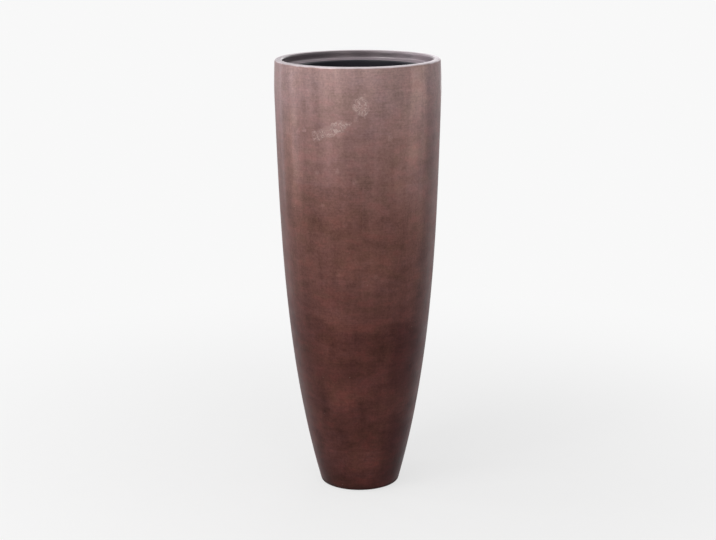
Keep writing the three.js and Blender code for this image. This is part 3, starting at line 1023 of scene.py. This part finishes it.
def ballastFinish():
    finish = Finish(bpy.data.materials.new("castSand"))
    place = finish.place()
    sockets = {"Vector": place, "Scale": ballastLook["grainsPerMetre"]}
    cells = finish.node("ShaderNodeTexVoronoi", {"feature": "F1"}, sockets, "Distance")
    tint = finish.node("ShaderNodeSeparateColor", {}, {0: cells.other("Color")}, 0)
    cloudy = finish.cloud(place, 0.03, detail=4, shift=9.0)
    grainy = finish.fade(cells, 0.5, 0.25)
    colour = finish.blend(grainy, ballastLook["resin"], ballastLook["sand"])
    colour = finish.blend(finish.fade(tint, 0.86, 0.9) * grainy, colour, ballastLook["darkGrains"])
    colour = finish.blend(finish.fade(cloudy, 0.4, 0.65) * 0.5, colour, ballastLook["damp"], "MULTIPLY")
    return finish.surface({
        "Base Color": colour,
        "Roughness": ballastLook["roughness"] + (cloudy - 0.5) * 0.2,
        "Normal": finish.bump(grainy * ballastLook["grain"] + cloudy * ballastLook["lumps"]),
    })


bung = {
    "clearance": 0.3,
    "headRadius": 17,
    "headThickness": 4,
    "length": 16,
    "topTaper": 1.5,
    "grip": 5,
    "gripDepth": 8,
    "gripRounding": 0.8,
}


def makeDrainBung():
    body = base["drainHoleRadius"] - bung["clearance"]
    headBottom = plateUnderside - bung["headThickness"]
    top = plateUnderside + bung["length"]
    edge = collar["edgeRounding"]
    corners = [
        (0, headBottom + bung["gripDepth"]),
        (bung["grip"], headBottom + bung["gripDepth"], bung["gripRounding"]),
        (bung["grip"], headBottom, edge),
        (bung["headRadius"], headBottom, edge),
        (bung["headRadius"], plateUnderside),
        (body, plateUnderside),
        (body, plateTop),
        (body - bung["topTaper"], top, bung["topTaper"]),
        (0, top),
    ]
    piece = turnedPiece("drainBung", metres(corners), turning["smallSteps"])
    piece.data.materials.append(rubberFinish("bungRubber", rubber["bungColour"]))
    settle(piece, "drain_bung", "plug_rubber", "drain_bung")


pad = {"count": 4, "radius": 6.5, "thickness": 2, "rounding": 0.6, "topRounding": 0.3}


def makeFootPads():
    finish = rubberFinish("padRubber", rubber["padColour"])
    circle = (footOuterRadius - base["footRingWidth"] / 2) * mm
    corners = metres([
        (0, 0),
        (pad["radius"], 0, pad["rounding"]),
        (pad["radius"], pad["thickness"], pad["topRounding"]),
        (0, pad["thickness"]),
    ])
    for i in range(pad["count"]):
        angle = 2 * math.pi * (i + 0.5) / pad["count"]
        piece = turnedPiece(f"footPad{i + 1}", corners, turning["smallSteps"])
        piece.location = (circle * math.cos(angle), circle * math.sin(angle), 0)
        piece.data.materials.append(finish)
        settle(piece, "planter", "pad_rubber", f"foot_pad_{i + 1}")


studio = {
    "floorRadius": 60.0,
    "floorSides": 96,
    "floorColours": ((0.85, 0.85, 0.85), (0.86, 0.86, 0.86)),
    "speckleSize": 0.05,
    # share of plain white in what the camera and reflections see of the floor, under the planter and far off
    "floorGlow": (0.72, 1.0),
    "glowReach": (0.25, 1.6),  # where that share starts to rise and where it is full, in metres
    "floorWhite": 0.94,  # strength of that white, where 1 is white
    "worldLight": 0.15,
    "skyLight": 0.8,  # watts a square metre, from a wide soft sun overhead
    "skySpread": 90,  # degrees
}

# degrees round from the front (to the right), metres from the axis, height of the middle, size, watts, colour
lamps = {
    "keySoftbox": (-35.0, 2.3, 1.0, (1.4, 1.8), 16.0, (1.0, 0.99, 0.98)),
    "highKey": (-50.0, 1.6, 2.2, (0.8, 0.8), 14.0, (1.0, 0.99, 0.98)),
    "sideSoftbox": (-95.0, 2.3, 1.0, (0.5, 1.8), 9.0, (1.0, 0.99, 0.99)),
    "frontFill": (20.0, 2.8, 1.4, (1.0, 1.0), 10.0, (1.0, 0.99, 0.98)),
    "lowStrip": (85.0, 2.3, 0.3, (1.4, 0.5), 4.0, (1.0, 0.99, 0.98)),
    "coolStrip": (-130.0, 2.3, 0.9, (0.3, 1.7), 2.0, (0.86, 0.88, 1.0)),
    "backFill": (165.0, 2.6, 1.2, (1.2, 1.6), 9.0, (0.98, 0.99, 1.0)),
}


def onlyFor(finish):
    path = finish.node("ShaderNodeLightPath", output="Is Camera Ray")
    seen = finish.maths("MAXIMUM", path, path.other("Is Glossy Ray"))
    return finish.maths("MAXIMUM", seen, path.other("Is Transmission Ray"))


def makeFloor():
    finish = Finish(bpy.data.materials.new("paleFloor"))
    place = finish.place()
    speckle = finish.fade(finish.cloud(place, studio["speckleSize"], detail=3), 0.3, 0.7)
    colour = finish.blend(speckle, *studio["floorColours"])
    matt = finish.node("ShaderNodeBsdfDiffuse", {}, {"Color": colour})
    glow = finish.node("ShaderNodeEmission", {}, {"Color": (1, 1, 1, 1), "Strength": studio["floorWhite"]})
    away = finish.node("ShaderNodeVectorMath", {"operation": "LENGTH"}, {0: place}, "Value")
    share = finish.fade(away, *studio["glowReach"], *studio["floorGlow"])
    mixed = finish.node("ShaderNodeMixShader", {}, {0: onlyFor(finish) * share, 1: matt, 2: glow})
    finish.node("ShaderNodeOutputMaterial", {}, {"Surface": mixed})
    steps, radius = studio["floorSides"], studio["floorRadius"]
    angles = [2 * math.pi * i / steps for i in range(steps)]
    rim = [(radius * math.cos(angle), radius * math.sin(angle), 0) for angle in angles]
    mesh = bpy.data.meshes.new("studioFloor")
    mesh.from_pydata(rim, [], [list(range(steps))])
    floor = bpy.data.objects.new("studioFloor", mesh)
    bpy.context.scene.collection.objects.link(floor)
    mesh.materials.append(finish.owner)


def makeWorld():
    world = bpy.data.worlds.new("studioWorld")
    bpy.context.scene.world = world
    finish = Finish(world)
    strength = onlyFor(finish) * (1 - studio["worldLight"]) + studio["worldLight"]
    air = finish.node("ShaderNodeBackground", {}, {"Color": (1, 1, 1, 1), "Strength": strength})
    finish.node("ShaderNodeOutputWorld", {}, {"Surface": air})


def makeLamps():
    aim = Vector((0, 0, height * mm * 0.5))
    for name, (degrees, distance, middle, size, watts, colour) in lamps.items():
        light = bpy.data.lights.new(name, "AREA")
        light.shape, (light.size, light.size_y) = "RECTANGLE", size
        light.energy, light.color = watts, colour
        lamp = bpy.data.objects.new(name, light)
        angle = math.radians(degrees)
        lamp.location = (distance * math.sin(angle), -distance * math.cos(angle), middle)
        lamp.rotation_euler = (aim - lamp.location).to_track_quat("-Z", "Y").to_euler()
        lamp.visible_camera = False
        bpy.context.scene.collection.objects.link(lamp)
    sky = bpy.data.objects.new("skyLight", bpy.data.lights.new("skyLight", "SUN"))
    sky.data.energy, sky.data.angle = studio["skyLight"], math.radians(studio["skySpread"])
    bpy.context.scene.collection.objects.link(sky)


# the photograph's own view, found by fitting the planter's outline: metres, degrees, and pixels off the axis
eye = {
    "place": (0.0, -3.278, 1.254),
    "aim": (0.0, 0.0, 0.459),
    "lens": 81.26,
    "sensor": 36.0,
    "roll": -0.32,
    "offAxis": -0.8,
    "pictureWidth": 716,
    "clip": (0.05, 200),
}


def makeCamera():
    camera = bpy.data.objects.new("photoCamera", bpy.data.cameras.new("photoCamera"))
    bpy.context.scene.collection.objects.link(camera)
    camera.location = eye["place"]
    look = (Vector(eye["aim"]) - camera.location).to_track_quat("-Z", "Y")
    camera.rotation_mode = "QUATERNION"
    camera.rotation_quaternion = look @ Quaternion((0, 0, 1), math.radians(eye["roll"]))
    camera.data.lens = eye["lens"]
    camera.data.sensor_width = eye["sensor"]
    camera.data.shift_x = eye["offAxis"] / eye["pictureWidth"]
    camera.data.clip_start, camera.data.clip_end = eye["clip"]
    bpy.context.scene.camera = camera


makeCamera()
makeWorld()
makeFloor()
makeLamps()
bpy.context.scene.view_settings.view_transform = "Standard"
print("studio ready: floor, world,", len(lamps), "lamps and the camera")

innerLeaf = collarFinish()
makeShell(innerLeaf)
print("shell turned and leafed")
makeCollar(innerLeaf)
print("collar turned, finger notches cut")
makeLiner()
makeLinerPlug()
print("liner and plug in place")
makeBasePlate()
makeBallast()
makeDrainBung()
makeFootPads()
print("base, ballast, bung and pads in place")
